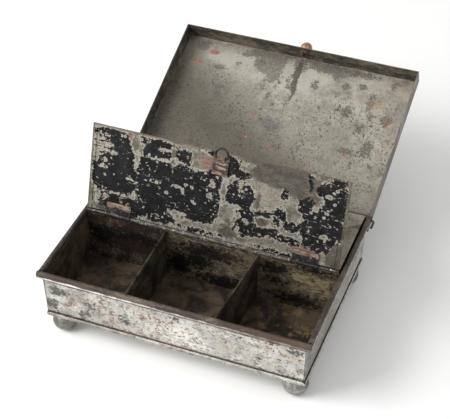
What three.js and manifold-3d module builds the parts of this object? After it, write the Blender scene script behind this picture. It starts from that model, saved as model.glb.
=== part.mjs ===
// Spice box in worn tinplate, with a tray-shaped outer lid and two inner leaves hinged on a centre rail.
// Millimetres, +Z up, +X to the right along the front, +Y to the back.
// The origin is on the table, in the middle of the ground that the opened box covers.

import * as THREE from 'three';
import { mergeVertices } from 'three/addons/utils/BufferGeometryUtils.js';
import Module from 'manifold-3d';

const wasm = await Module();
wasm.setup();

// Sheet, wire and clearances
const sheet = 0.6;
const clearance = 0.3;
const wireRadius = 0.9;
const cutOverrun = 40;

// Body
const boxLength = 200;
const boxDepth = 144;
const rimHeight = 42;
const rimDrop = 2.2;
const wallLean = 0.9;
const toeCurl = 1.3;
const toeHeight = 7;

// Base plate and feet
const baseFlangeHeight = 3.2;
const baseFlangeStandOff = 0.5;
const baseBend = 1.1;
const footRadius = 9.2;
const footHeight = 16.5;
const footFlatRadius = 3;
const footFromEdge = 9.3;

// Centre rail, partition and dividers
const railFromCentre = 2.5;
const railAboveRim = 1.3;
const dividerBelowRim = 0.4;
const dividerFromCentre = 34;
const dividerSlant = 2.6;
const hemDepth = 3.2;

// Inner leaves
const leafSideGap = 0.6;
const frontLeafShort = 6.9;
const backLeafShort = 4.3;
const frontLeafOpenDeg = 107;
const knuckleReach = 2.8;
const knuckleStartDeg = 40;
const knuckleEndDeg = 305;
const strapReliefReach = 6.5;

// Folded straps of the hinges
const strapWidth = 19;
const strapLeg = 10;
const strapSideGap = 0.4;
const leafStrapFromEdge = 24.8;
const lidStrapFromEdge = 35;

// Pull rings at the free edges of the leaves
const pullFromCentre = 2;
const ringWireRadius = 0.9;
const ringHeight = 7.4;
const ringCorner = 1.75;
const pullBarrelHalfWidth = 2.7;
const pullAxisInset = 5;
const pullPlateHalfWidth = 5.8;
const pullPlateLeg = 12;
const pullTopLeg = 5.2;
const ringStandDeg = 0;
const ringFoldDeg = 140;

// Outer lid
const lidSideGap = 0.6;
const lidFrontInset = 2.7;
const lidFlangeDepth = 14.5;
const lidBend = 1.3;
const lidOpenDeg = 158;
const hingeWireEnd = 6;
const hingeWireBend = 2;

// Knob and its screw
const knobFromCentre = 3;
const knobHeightShare = 0.45;
const knobRadius = 4.8;
const knobSeatRadius = 2.6;
const screwShankRadius = 1.3;
const screwShankLength = 6;
const screwHeadRadius = 4.1;
const screwHeadHeight = 2.1;
const screwSlotWidth = 0.9;
const screwSlotDepth = 1;

// Facets
const roundSides = 24;
const wireSides = 12;
const rollSteps = 14;
const toeSteps = 4;

// Sizes that follow from the ones above
const degrees = Math.PI / 180;
const rollRadius = wireRadius + clearance + sheet;
const rollLineRadius = rollRadius - sheet / 2;
const rollEndDeg = -105;
const axisHeight = rimHeight - rollRadius;
const toeBottom = sheet + clearance + sheet / 5;
const lowHeight = toeBottom + toeHeight;
const rimZone = axisHeight - rimDrop - rollRadius - clearance;
const railHeight = rimHeight + railAboveRim;
const dividerTop = rimHeight - dividerBelowRim;
const legLine = sheet / 2 + clearance + sheet / 2;
const legOuter = legLine + sheet / 2;
const leafStart = rollRadius + clearance;
const leafHalfWidth = boxLength / 2 - rollRadius - rollLineRadius - sheet / 2 - leafSideGap;
const leafStrapFromCentre = leafHalfWidth - leafStrapFromEdge;
const frontLeafReach = boxDepth / 2 + railFromCentre - frontLeafShort;
const backLeafReach = boxDepth / 2 - railFromCentre - backLeafShort;
const lidAxisY = boxDepth / 2 - rollRadius;
const lidAxisHeight = axisHeight - rimDrop;
const lidStart = rimHeight - lidAxisHeight + clearance;
const lidHalfWidth = leafHalfWidth + lidSideGap + sheet;
const lidReach = lidAxisY + boxDepth / 2 - lidFrontInset;
const lidStrapFromCentre = lidHalfWidth - lidStrapFromEdge;
const lidPanelTop = lidStart + lidFlangeDepth;
const pullLoopLineRadius = ringWireRadius + clearance + sheet / 2;
const pullLoopOuter = pullLoopLineRadius + sheet / 2;

// Joins and cuts

function solidOf(geometry) {
  const bare = geometry.clone();
  bare.deleteAttribute('normal');
  bare.deleteAttribute('uv');
  const merged = mergeVertices(bare);
  return new wasm.Manifold(new wasm.Mesh({
    numProp: 3,
    vertProperties: new Float32Array(merged.attributes.position.array),
    triVerts: new Uint32Array(merged.index.array),
  }));
}

function geometryOf(solid) {
  const mesh = solid.getMesh();
  const geometry = new THREE.BufferGeometry();
  geometry.setAttribute('position', new THREE.BufferAttribute(mesh.vertProperties, 3));
  geometry.setIndex(new THREE.BufferAttribute(mesh.triVerts, 1));
  geometry.computeVertexNormals();
  return geometry;
}

// Outlines. A point is [across, up].

function shapeOf(points) {
  return new THREE.Shape(points.map(([across, up]) => new THREE.Vector2(across, up)));
}

function arc(centre, radius, fromDeg, toDeg, steps) {
  return Array.from({ length: steps + 1 }, (_, step) => {
    const angle = (fromDeg + (toDeg - fromDeg) * step / steps) * degrees;
    return [centre[0] + radius * Math.cos(angle), centre[1] + radius * Math.sin(angle)];
  });
}

// Outline of a bent strip of sheet whose middle line runs through the points
function strip(points, thickness) {
  const sides = [[], []];
  points.forEach(([across, up], index) => {
    const before = points[Math.max(index - 1, 0)];
    const after = points[Math.min(index + 1, points.length - 1)];
    const into = new THREE.Vector2(across - before[0], up - before[1]);
    const out = new THREE.Vector2(after[0] - across, after[1] - up);
    const first = into.length() > 0 ? into.normalize() : out.clone().normalize();
    const second = out.length() > 0 ? out.normalize() : first.clone();
    const along = first.clone().add(second).normalize();
    const offset = thickness / 2 / along.dot(first);
    sides[0].push([across - along.y * offset, up + along.x * offset]);
    sides[1].unshift([across + along.y * offset, up - along.x * offset]);
  });
  return sides[0].concat(sides[1]);
}

function box(low, high) {
  const size = high.map((value, index) => value - low[index]);
  const geometry = new THREE.BoxGeometry(...size);
  geometry.translate(...low.map((value, index) => value + size[index] / 2));
  return geometry;
}

// Outline in Y and Z, swept along X
function alongX(points, from, to) {
  const geometry = new THREE.ExtrudeGeometry(shapeOf(points), { depth: to - from, bevelEnabled: false });
  const turn = new THREE.Matrix4().makeBasis(
    new THREE.Vector3(0, 1, 0), new THREE.Vector3(0, 0, 1), new THREE.Vector3(1, 0, 0));
  geometry.applyMatrix4(turn);
  geometry.translate(from, 0, 0);
  return geometry;
}

// Outline in X and Z, swept along Y
function alongY(points, from, to) {
  const geometry = new THREE.ExtrudeGeometry(shapeOf(points), { depth: to - from, bevelEnabled: false });
  const turn = new THREE.Matrix4().makeBasis(
    new THREE.Vector3(1, 0, 0), new THREE.Vector3(0, 0, 1), new THREE.Vector3(0, -1, 0));
  geometry.applyMatrix4(turn);
  geometry.translate(0, to, 0);
  return geometry;
}

// Round wire through points in the XY plane, open with flat ends or closed into a loop
function wireAlong(points, radius, closed = false) {
  const positions = [];
  const faces = [];
  const last = points.length - 1;
  points.forEach(([x, y], index) => {
    const before = points[index > 0 ? index - 1 : (closed ? last : 0)];
    const after = points[index < last ? index + 1 : (closed ? 0 : last)];
    const into = new THREE.Vector2(x - before[0], y - before[1]);
    const out = new THREE.Vector2(after[0] - x, after[1] - y);
    const first = into.length() > 0 ? into.normalize() : out.clone().normalize();
    const second = out.length() > 0 ? out.normalize() : first.clone();
    const along = first.clone().add(second).normalize();
    const reach = radius / along.dot(first);
    for (let side = 0; side < wireSides; side += 1) {
      const angle = 2 * Math.PI * side / wireSides;
      const across = reach * Math.cos(angle);
      positions.push(x - along.y * across, y + along.x * across, radius * Math.sin(angle));
    }
  });
  const runs = closed ? points.length : last;
  for (let run = 0; run < runs; run += 1) {
    const here = run * wireSides;
    const there = ((run + 1) % points.length) * wireSides;
    for (let side = 0; side < wireSides; side += 1) {
      const next = (side + 1) % wireSides;
      faces.push(here + side, here + next, there + next);
      faces.push(here + side, there + next, there + side);
    }
  }
  if (!closed) {
    const end = last * wireSides;
    for (let side = 1; side < wireSides - 1; side += 1) {
      faces.push(0, side + 1, side);
      faces.push(end, end + side, end + side + 1);
    }
  }
  const geometry = new THREE.BufferGeometry();
  geometry.setAttribute('position', new THREE.Float32BufferAttribute(positions, 3));
  geometry.setIndex(faces);
  geometry.computeVertexNormals();
  return geometry;
}

// Turned form about +Z from a profile of [radius, height]
function turned(profile) {
  const geometry = new THREE.LatheGeometry(
    profile.map(([radius, height]) => new THREE.Vector2(radius, height)), roundSides);
  geometry.rotateX(Math.PI / 2);
  return geometry;
}

// Finishes

function finish(color, roughness, metalness) {
  return { color, roughness, metalness };
}

const wornTin = finish(0x9b9a96, 0.5, 0.8);
const brownTin = finish(0x6e665d, 0.55, 0.7);
const darkTin = finish(0x4a4742, 0.6, 0.6);
const japan = finish(0x35353a, 0.45, 0.3);
const copperBrass = finish(0xa9784f, 0.35, 0.9);
const brownScrew = finish(0x6b4133, 0.5, 0.7);

function piece(name, geometry, look) {
  const mesh = new THREE.Mesh(geometry, new THREE.MeshStandardMaterial(look));
  mesh.name = name;
  return mesh;
}

// Body walls: sheet with a curled-in toe, and a rim rolled outward round a wire and pressed to a tall bead

function wallLine(half) {
  const top = half - rollRadius - rollLineRadius;
  const low = top - wallLean;
  const toeRadius = (toeHeight ** 2 + toeCurl ** 2) / (2 * toeCurl);
  const toeDeg = Math.asin(toeHeight / toeRadius) / degrees;
  const toe = arc([low - toeRadius, lowHeight], toeRadius, -toeDeg, 0, toeSteps);
  return { toe, top };
}

function wallProfile(half) {
  const { toe, top } = wallLine(half);
  const middle = top + rollLineRadius;
  const over = arc([middle, axisHeight], rollLineRadius, 180, 0, rollSteps);
  const under = arc([middle, lidAxisHeight], rollLineRadius, 0, rollEndDeg, rollSteps);
  return strip([...toe, ...over, ...under], sheet);
}

// Space between two opposite walls, narrowed by a margin; a negative margin reaches outward
function spaceBetween(half, margin, ceiling) {
  const { toe, top } = wallLine(half);
  const below = [toe[0][0], toe[0][1] - cutOverrun];
  const side = [below, ...toe, [top, axisHeight], [top, ceiling]].map(([across, up]) => [across - margin, up]);
  const mirrored = side.map(([across, up]) => [-across, up]).reverse();
  return side.concat(mirrored);
}

const ceiling = rimHeight + cutOverrun;
const innerMargin = sheet / 2 + clearance;

function flipAcross(points) {
  return points.map(([across, up]) => [-across, up]);
}

// Front or back wall: its sheet ends against the side walls, its rim runs through to both corners
function longWall(outline) {
  const sweep = solidOf(alongX(outline, -boxLength / 2, boxLength / 2));
  const ends = solidOf(alongY(spaceBetween(boxLength / 2, innerMargin, ceiling), -boxDepth, boxDepth));
  const rim = solidOf(box([-boxLength / 2, -boxDepth, rimZone + clearance], [boxLength / 2, boxDepth, ceiling]));
  return sweep.intersect(ends.add(rim));
}

function frontWall() {
  return geometryOf(longWall(flipAcross(wallProfile(boxDepth / 2))));
}

// Back wall, with a notch for each strap of the outer lid
function backWall() {
  let wall = longWall(wallProfile(boxDepth / 2));
  for (const side of [-1, 1]) {
    wall = wall.subtract(strapNotch(side * lidStrapFromCentre, lidAxisY, lidAxisHeight));
  }
  return geometryOf(wall);
}

// Side wall: its rim ends against the front and back rims
function sideWall(side) {
  const outline = wallProfile(boxLength / 2);
  const sweep = solidOf(alongY(side > 0 ? outline : flipAcross(outline), -boxDepth / 2, boxDepth / 2));
  const ends = solidOf(alongX(spaceBetween(boxDepth / 2, -sheet / 2, ceiling), -boxLength, boxLength));
  const stop = boxDepth / 2 - 2 * rollRadius - clearance;
  const backCut = solidOf(box([-boxLength, stop, rimZone], [boxLength, boxDepth, ceiling]));
  const frontCut = solidOf(box([-boxLength, -boxDepth, rimZone], [boxLength, -stop, ceiling]));
  return geometryOf(sweep.intersect(ends).subtract(backCut).subtract(frontCut));
}

function strapNotch(x, y, z) {
  const reach = strapWidth / 2 + strapSideGap;
  const depth = rollRadius + clearance;
  return solidOf(box([x - reach, y - depth - sheet, z - depth], [x + reach, y + depth + sheet, z + cutOverrun]));
}

// Rim wires

function straightWire(length) {
  return wireAlong([[-length / 2, 0], [length / 2, 0]], wireRadius);
}

function lidHingeWire() {
  const straight = boxLength / 2 + wireRadius + clearance - hingeWireBend + wireRadius;
  const bend = arc([straight, -hingeWireBend], hingeWireBend, 90, 0, 4);
  const right = bend.concat([[straight + hingeWireBend, -hingeWireBend - hingeWireEnd]]);
  const left = right.map(([x, y]) => [-x, y]).reverse();
  return wireAlong(left.concat(right), wireRadius);
}

// Base plate with a flange turned up round the walls; each flange is rounded off at the corners

function baseProfile(half) {
  const edge = half - sheet / 2;
  const bendLine = baseBend - sheet / 2;
  const turn = arc([edge - bendLine, baseBend], bendLine, -90, 0, 4);
  const right = turn.concat([[edge, baseFlangeHeight]]);
  const left = flipAcross(right).reverse();
  return strip(left.concat(right), sheet);
}

function baseFlangeLimit(half) {
  const round = baseFlangeHeight - sheet;
  const right = arc([half - round, sheet], round, 0, 90, 5);
  const left = flipAcross(right).reverse();
  return [[half, -cutOverrun], ...right, ...left, [-half, -cutOverrun]];
}

function baseHalf(half) {
  const { toe } = wallLine(half);
  return toe[toe.length - 1][0] + sheet / 2 - toeCurl / 2 + baseFlangeStandOff + sheet;
}

function basePlate() {
  const halfX = baseHalf(boxLength / 2);
  const halfY = baseHalf(boxDepth / 2);
  const frontAndBack = solidOf(alongX(baseProfile(halfY), -halfX, halfX))
    .intersect(solidOf(alongY(baseFlangeLimit(halfX), -boxDepth, boxDepth)));
  const leftAndRight = solidOf(alongY(baseProfile(halfX), -halfY, halfY))
    .intersect(solidOf(alongX(baseFlangeLimit(halfY), -boxLength, boxLength)));
  return geometryOf(frontAndBack.add(leftAndRight));
}

// Squashed ball foot, flat where it meets the plate and the table
function ballFoot() {
  const height = footHeight - clearance;
  const flatDeg = Math.acos(footFlatRadius / footRadius) / degrees;
  const rise = height / 2 / Math.sin(flatDeg * degrees);
  const middle = -clearance - height / 2;
  const curve = arc([0, 0], 1, -flatDeg, flatDeg, 12)
    .map(([across, up]) => [across * footRadius, middle + up * rise]);
  return turned([[0, middle - height / 2], ...curve, [0, middle + height / 2]]);
}

// Centre partition: it carries the leaves' hinge wire on a raised ear at each end, and clears the
// knuckle and the straps that turn on the wire between them
function centrePartition() {
  const low = railFromCentre - sheet / 2;
  const high = railFromCentre + sheet / 2;
  const knuckleTop = railHeight - rollRadius - clearance;
  const earTop = railHeight - wireRadius - clearance;
  const earStart = leafStrapFromCentre + strapWidth / 2 + strapSideGap;
  const ends = solidOf(alongY(spaceBetween(boxLength / 2, innerMargin, ceiling), -boxDepth, boxDepth));
  let partition = solidOf(box([-earStart, low, toeBottom], [earStart, high, knuckleTop]));
  partition = partition.add(solidOf(box([-boxLength, low, toeBottom], [-earStart, high, earTop])));
  partition = partition.add(solidOf(box([earStart, low, toeBottom], [boxLength, high, earTop])));
  return geometryOf(partition.intersect(ends));
}

// Cross divider with a folded hem along its top; end is -1 for the front bays and 1 for the back bays
function divider(x, end, slant) {
  const hemLine = (sheet + clearance) / 2;
  const hem = arc([hemLine, dividerTop - hemLine - sheet / 2], hemLine, 180, 0, 5);
  const outline = strip([[0, toeBottom], ...hem, [2 * hemLine, dividerTop - hemDepth]], sheet);
  const sheetSolid = solidOf(alongY(outline, -boxDepth / 2, boxDepth / 2));
  const bayMiddle = end * boxDepth / 4;
  const turn = Math.atan2(2 * slant, boxDepth / 2) / degrees;
  const placed = sheetSolid.rotate([0, 0, turn]).translate([x + slant * bayMiddle / (boxDepth / 4), 0, 0]);
  const bay = spaceBetween(boxDepth / 2, innerMargin, ceiling)
    .map(([y, z]) => [end * Math.max(end * y, end * railFromCentre + innerMargin), z]);
  const rollEdge = rollRadius + clearance;
  const railCut = solidOf(box([-boxLength, railFromCentre - rollEdge, railHeight - rollEdge],
    [boxLength, railFromCentre + rollEdge, ceiling]));
  return geometryOf(placed.intersect(solidOf(alongX(bay, -boxLength, boxLength))).subtract(railCut));
}

// Folded strap: one strip looped round a wire, with a leg on each face of the sheet that it carries.
// Its outline is [reach from the wire, height off the sheet].
function strapOutline(lineRadius, topLeg, underLeg) {
  const meet = Math.sqrt(lineRadius ** 2 - legLine ** 2);
  const meetDeg = Math.atan2(legLine, meet) / degrees;
  const loop = arc([0, 0], lineRadius, meetDeg, 360 - meetDeg, rollSteps);
  return strip([[topLeg, legLine], ...loop, [underLeg, -legLine]], sheet);
}

function hingeStrap() {
  return alongX(strapOutline(rollLineRadius, strapLeg, strapLeg), -strapWidth / 2, strapWidth / 2);
}

// Pull strap: a wide plate under the leaf, narrowed to an eye at the free edge that holds the ring
function pullStrap() {
  const outline = strapOutline(pullLoopLineRadius, pullTopLeg, pullPlateLeg).map(([reach, up]) => [-reach, up]);
  const wide = solidOf(alongX(outline, -pullPlateHalfWidth, pullPlateHalfWidth));
  const eyeEnd = -(pullLoopOuter + clearance);
  const narrow = solidOf(box(
    [-pullBarrelHalfWidth, -cutOverrun, -cutOverrun], [pullBarrelHalfWidth, cutOverrun, cutOverrun]));
  const plate = solidOf(box(
    [-pullPlateHalfWidth, -cutOverrun, -cutOverrun], [pullPlateHalfWidth, eyeEnd - clearance, 0]));
  return geometryOf(wide.intersect(narrow.add(plate)));
}

// Pull ring: straight where it passes through the eye, round beyond it
function pullRing() {
  const bar = pullBarrelHalfWidth + clearance;
  const shoulder = bar + ringCorner;
  const corner = arc([bar, ringCorner], ringCorner, -90, 0, 4);
  const crown = arc([0, 0], 1, 0, 180, 16)
    .map(([across, up]) => [across * shoulder, ringCorner + up * (ringHeight - ringCorner)]);
  const farCorner = flipAcross(corner).reverse();
  return wireAlong([...corner, ...crown.slice(1, -1), ...farCorner], ringWireRadius, true);
}

// Inner leaf, lying flat along +Y from its hinge line, top side up. Three edges are hemmed underneath,
// and the free edge is notched where the ring swings.
function leafSheet(reach, pullX) {
  const half = sheet / 2;
  const pullNotch = pullBarrelHalfWidth + clearance + ringCorner + ringWireRadius + clearance;
  const notchEnd = reach - pullAxisInset - pullLoopOuter - clearance;
  const sideRound = arc([leafHalfWidth - sheet, -half], sheet, -90, 90, 6);
  const sides = alongY([...sideRound, ...flipAcross(sideRound).reverse()], leafStart, reach);
  const edgeRound = arc([reach - sheet, -half], sheet, -90, 90, 6);
  const edge = alongX([[leafStart - sheet, -cutOverrun], [reach - sheet, -cutOverrun], ...edgeRound,
    [reach - sheet, cutOverrun], [leafStart - sheet, cutOverrun]], -boxLength, boxLength);
  const hollow = box([-leafHalfWidth + hemDepth, -cutOverrun, -cutOverrun],
    [leafHalfWidth - hemDepth, reach - hemDepth, -half]);
  const notch = box([pullX - pullNotch, notchEnd, -cutOverrun], [pullX + pullNotch, reach + cutOverrun, cutOverrun]);
  return solidOf(sides).intersect(solidOf(edge)).subtract(solidOf(hollow)).subtract(solidOf(notch));
}

// Hinge edge of the back leaf: relieved where the front leaf's straps pass, and rolled round the wire
// between them as one long knuckle
function withKnuckle(leaf) {
  const gap = strapWidth / 2 + strapSideGap;
  const reliefEdge = leafStrapFromCentre - gap;
  const knuckleHalf = reliefEdge - clearance;
  let cut = leaf;
  for (const side of [-1, 1]) {
    const x = side * leafStrapFromCentre;
    cut = cut.subtract(solidOf(box([x - gap, -cutOverrun, -cutOverrun], [x + gap, strapReliefReach, cutOverrun])));
  }
  const roll = arc([0, 0], rollLineRadius, -knuckleStartDeg, -knuckleEndDeg, rollSteps);
  const outline = strip([[knuckleReach + sheet / 2, 0], ...roll], sheet);
  const clear = solidOf(box([-reliefEdge, -cutOverrun, -cutOverrun], [reliefEdge, knuckleReach, cutOverrun]));
  return cut.subtract(clear).add(solidOf(alongX(outline, -knuckleHalf, knuckleHalf)));
}

// Everything on a leaf, from its hinge line out; facing is -1 for the leaf that faces the front, so
// that the pull stands off the middle the same way on both
function leafAssembly(prefix, facing, leafSolid, reach, ringDeg) {
  const leaf = new THREE.Group();
  leaf.add(piece(`${prefix}_leaf`, geometryOf(leafSolid), japan));
  const pull = new THREE.Group();
  pull.position.set(facing * pullFromCentre, reach - pullAxisInset, 0);
  pull.add(piece(`${prefix}_pull_strap`, pullStrap(), brownTin));
  const ring = piece(`${prefix}_pull_ring`, pullRing(), darkTin);
  ring.rotation.x = ringDeg * degrees;
  pull.add(ring);
  leaf.add(pull);
  return leaf;
}

// Outer lid: a shallow tray on the rim, drawn here closed, with its hinge line on the X axis.
// Y runs from the back flange, which stands over the hinge line, to the front flange; its flanges end
// just above the rim.

function trayOutline(low, high, base, top, bend) {
  const right = arc([high - bend, top - bend], bend, 0, 90, 4);
  const left = arc([low + bend, top - bend], bend, 90, 180, 4);
  return [[high, base], ...right, ...left, [low, base]];
}

function trayBody(inset, drop) {
  const back = sheet / 2 - inset;
  const front = -lidReach + inset;
  const half = lidHalfWidth - inset;
  const bend = lidBend - inset;
  const base = lidStart - drop;
  const depthways = alongX(trayOutline(front, back, base, lidPanelTop - inset, bend), -half, half);
  const lengthways = alongY(trayOutline(-half, half, base, lidPanelTop - inset, bend), front, back);
  return solidOf(depthways).intersect(solidOf(lengthways));
}

const knobHeight = lidStart + lidFlangeDepth * knobHeightShare;

function lidTray() {
  const hole = new THREE.CylinderGeometry(
    screwShankRadius + clearance, screwShankRadius + clearance, cutOverrun, roundSides);
  hole.translate(knobFromCentre, -lidReach, knobHeight);
  return geometryOf(trayBody(0, 0).subtract(trayBody(sheet, cutOverrun)).subtract(solidOf(hole)));
}

// Ball knob, bored for its screw, with a flat seat on the outside of the front flange; it points along +Z
function ballKnob() {
  const seatDeg = Math.acos(knobSeatRadius / knobRadius) / degrees;
  const centre = knobRadius * Math.sin(seatDeg * degrees);
  const bore = screwShankRadius + clearance;
  const boreDepth = screwShankLength - sheet - clearance;
  const ball = arc([0, centre], knobRadius, 90, -seatDeg, 12);
  ball[0][0] = 0;
  return turned([[0, boreDepth], [bore, boreDepth], [bore, 0], ...ball.reverse()]);
}

// Screw with a domed slotted head; the head bears on the inside of the flange at Z 0 and faces -Z
function slottedScrew() {
  const headRise = screwHeadHeight;
  const domeRadius = (screwHeadRadius ** 2 + headRise ** 2) / (2 * headRise);
  const domeDeg = Math.asin(screwHeadRadius / domeRadius) / degrees;
  const dome = arc([0, domeRadius - headRise], domeRadius, -90, -90 + domeDeg, 6);
  dome[0][0] = 0;
  const screw = solidOf(turned([...dome, [screwShankRadius, 0], [screwShankRadius, screwShankLength],
    [0, screwShankLength]]));
  const slot = box([-screwSlotWidth / 2, -screwHeadRadius, -headRise - cutOverrun],
    [screwSlotWidth / 2, screwHeadRadius, -headRise + screwSlotDepth]);
  return geometryOf(screw.subtract(solidOf(slot)));
}

// Assembly

const spiceBox = new THREE.Group();

spiceBox.add(piece('front_wall', frontWall(), wornTin));
spiceBox.add(piece('back_wall', backWall(), wornTin));
spiceBox.add(piece('left_wall', sideWall(-1), wornTin));
spiceBox.add(piece('right_wall', sideWall(1), wornTin));
spiceBox.add(piece('base_plate', basePlate(), wornTin));

const rimWireInset = rollRadius;
const frontWireLength = boxLength - 2 * clearance;
const frontRimWire = piece('front_rim_wire', straightWire(frontWireLength), darkTin);
frontRimWire.position.set(0, -boxDepth / 2 + rimWireInset, axisHeight);
spiceBox.add(frontRimWire);

for (const [side, word] of [[-1, 'left'], [1, 'right']]) {
  const length = boxDepth - 4 * rollRadius - 4 * clearance;
  const wire = piece(`${word}_rim_wire`, straightWire(length), darkTin);
  wire.rotation.z = Math.PI / 2;
  wire.position.set(side * (boxLength / 2 - rimWireInset), 0, axisHeight);
  spiceBox.add(wire);
}

const hingeWire = piece('lid_hinge_wire', lidHingeWire(), darkTin);
hingeWire.position.set(0, lidAxisY, lidAxisHeight);
spiceBox.add(hingeWire);

for (const [endways, endWord] of [[-1, 'front'], [1, 'back']]) {
  for (const [side, word] of [[-1, 'left'], [1, 'right']]) {
    const foot = piece(`foot_${endWord}_${word}`, ballFoot(), wornTin);
    foot.position.set(
      side * (baseHalf(boxLength / 2) - footFromEdge),
      endways * (baseHalf(boxDepth / 2) - footFromEdge), 0);
    spiceBox.add(foot);
  }
}

spiceBox.add(piece('centre_partition', centrePartition(), brownTin));
const railWire = piece('leaf_hinge_wire', straightWire(boxLength - 4 * rollRadius - 4 * clearance), darkTin);
railWire.position.set(0, railFromCentre, railHeight);
spiceBox.add(railWire);

spiceBox.add(piece('front_divider_left', divider(-dividerFromCentre, -1, 0), darkTin));
spiceBox.add(piece('front_divider_right', divider(dividerFromCentre, -1, -dividerSlant), darkTin));
spiceBox.add(piece('back_divider_left', divider(-dividerFromCentre, 1, 0), darkTin));
spiceBox.add(piece('back_divider_right', divider(dividerFromCentre, 1, 0), darkTin));

// The front leaf faces the front when shut, so it is turned half round before it is opened
const frontSheet = leafSheet(frontLeafReach, -pullFromCentre);
const frontLeaf = leafAssembly('front', -1, frontSheet, frontLeafReach, ringStandDeg);
for (const [side, word] of [[-1, 'left'], [1, 'right']]) {
  const strap = piece(`front_leaf_strap_${word}`, hingeStrap(), brownTin);
  strap.position.x = -side * leafStrapFromCentre;
  frontLeaf.add(strap);
}
frontLeaf.rotation.z = Math.PI;
const frontLeafHinge = new THREE.Group();
frontLeafHinge.position.set(0, railFromCentre, railHeight);
frontLeafHinge.rotation.x = -frontLeafOpenDeg * degrees;
frontLeafHinge.add(frontLeaf);
spiceBox.add(frontLeafHinge);

const backSheet = withKnuckle(leafSheet(backLeafReach, pullFromCentre));
const backLeaf = leafAssembly('back', 1, backSheet, backLeafReach, ringFoldDeg);
backLeaf.position.set(0, railFromCentre, railHeight);
spiceBox.add(backLeaf);

const lidHinge = new THREE.Group();
lidHinge.position.set(0, lidAxisY, lidAxisHeight);
lidHinge.rotation.x = -lidOpenDeg * degrees;
lidHinge.add(piece('lid', lidTray(), wornTin));
for (const [side, word] of [[-1, 'left'], [1, 'right']]) {
  const strap = piece(`lid_strap_${word}`, hingeStrap(), brownTin);
  strap.position.x = side * lidStrapFromCentre;
  strap.rotation.x = Math.PI / 2;
  lidHinge.add(strap);
}
const knobAxis = new THREE.Group();
knobAxis.position.set(knobFromCentre, -lidReach, knobHeight);
knobAxis.rotation.x = Math.PI / 2;
const knob = piece('lid_knob', ballKnob(), copperBrass);
knob.position.z = clearance;
knobAxis.add(knob);
const screw = piece('lid_knob_screw', slottedScrew(), brownScrew);
screw.position.z = -sheet - clearance;
knobAxis.add(screw);
lidHinge.add(knobAxis);
spiceBox.add(lidHinge);

// Stand the open box on its feet, with its outer limits centred on the origin
const limits = new THREE.Box3().setFromObject(spiceBox, true);
const middle = limits.getCenter(new THREE.Vector3());
spiceBox.position.set(-middle.x, -middle.y, -limits.min.z);

const onTable = new THREE.Group();
onTable.add(spiceBox);

export default onTable;
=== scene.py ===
import math
from types import SimpleNamespace

import bpy
from mathutils import Matrix, Vector

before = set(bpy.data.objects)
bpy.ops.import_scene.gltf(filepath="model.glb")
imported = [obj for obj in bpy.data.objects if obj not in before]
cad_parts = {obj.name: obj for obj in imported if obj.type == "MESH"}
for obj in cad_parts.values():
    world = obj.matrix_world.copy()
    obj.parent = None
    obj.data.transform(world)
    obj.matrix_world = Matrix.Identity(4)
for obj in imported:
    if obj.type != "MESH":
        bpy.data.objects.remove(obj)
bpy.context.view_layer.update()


# Landmarks of the part as photographed: lines in metres, heights in mm

RAIL = Vector((0, -0.067706, 0.0598))
LEAF_LEAN = math.radians(107)
UP_LEAF = Vector((0, -math.cos(LEAF_LEAN), math.sin(LEAF_LEAN)))
BEHIND_LEAF = Vector((0, math.sin(LEAF_LEAN), math.cos(LEAF_LEAN)))
LID_HINGE = Vector((0, -0.000006, 0.0545))
LID_OPEN = math.radians(158)
OUT_LID = Vector((0, -math.cos(LID_OPEN), math.sin(LID_OPEN)))
OVER_LID = Vector((0, math.sin(LID_OPEN), math.cos(LID_OPEN)))
FOOT_TOP = 20.2  # of the walls' browned foot
RUST_AND_SHADE_LOW = 49.0  # of the brown line below the rim, rust and painted shade
RIM_LOW = 52.4
HIGHLIGHT_LOW = 53.4  # of the rim's painted highlight along its lower edge
HIGHLIGHT_TOP = 55.4
MM_PER_METRE = 1000


# Colours, named after the place where each is used

def srgb(code):
    """Hex code as a linear colour."""
    parts = [int(code[i:i + 2], 16) / 255 for i in (0, 2, 4)]
    return (*(p / 12.92 if p <= 0.04045 else ((p + 0.055) / 1.055) ** 2.4 for p in parts), 1.0)


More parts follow.
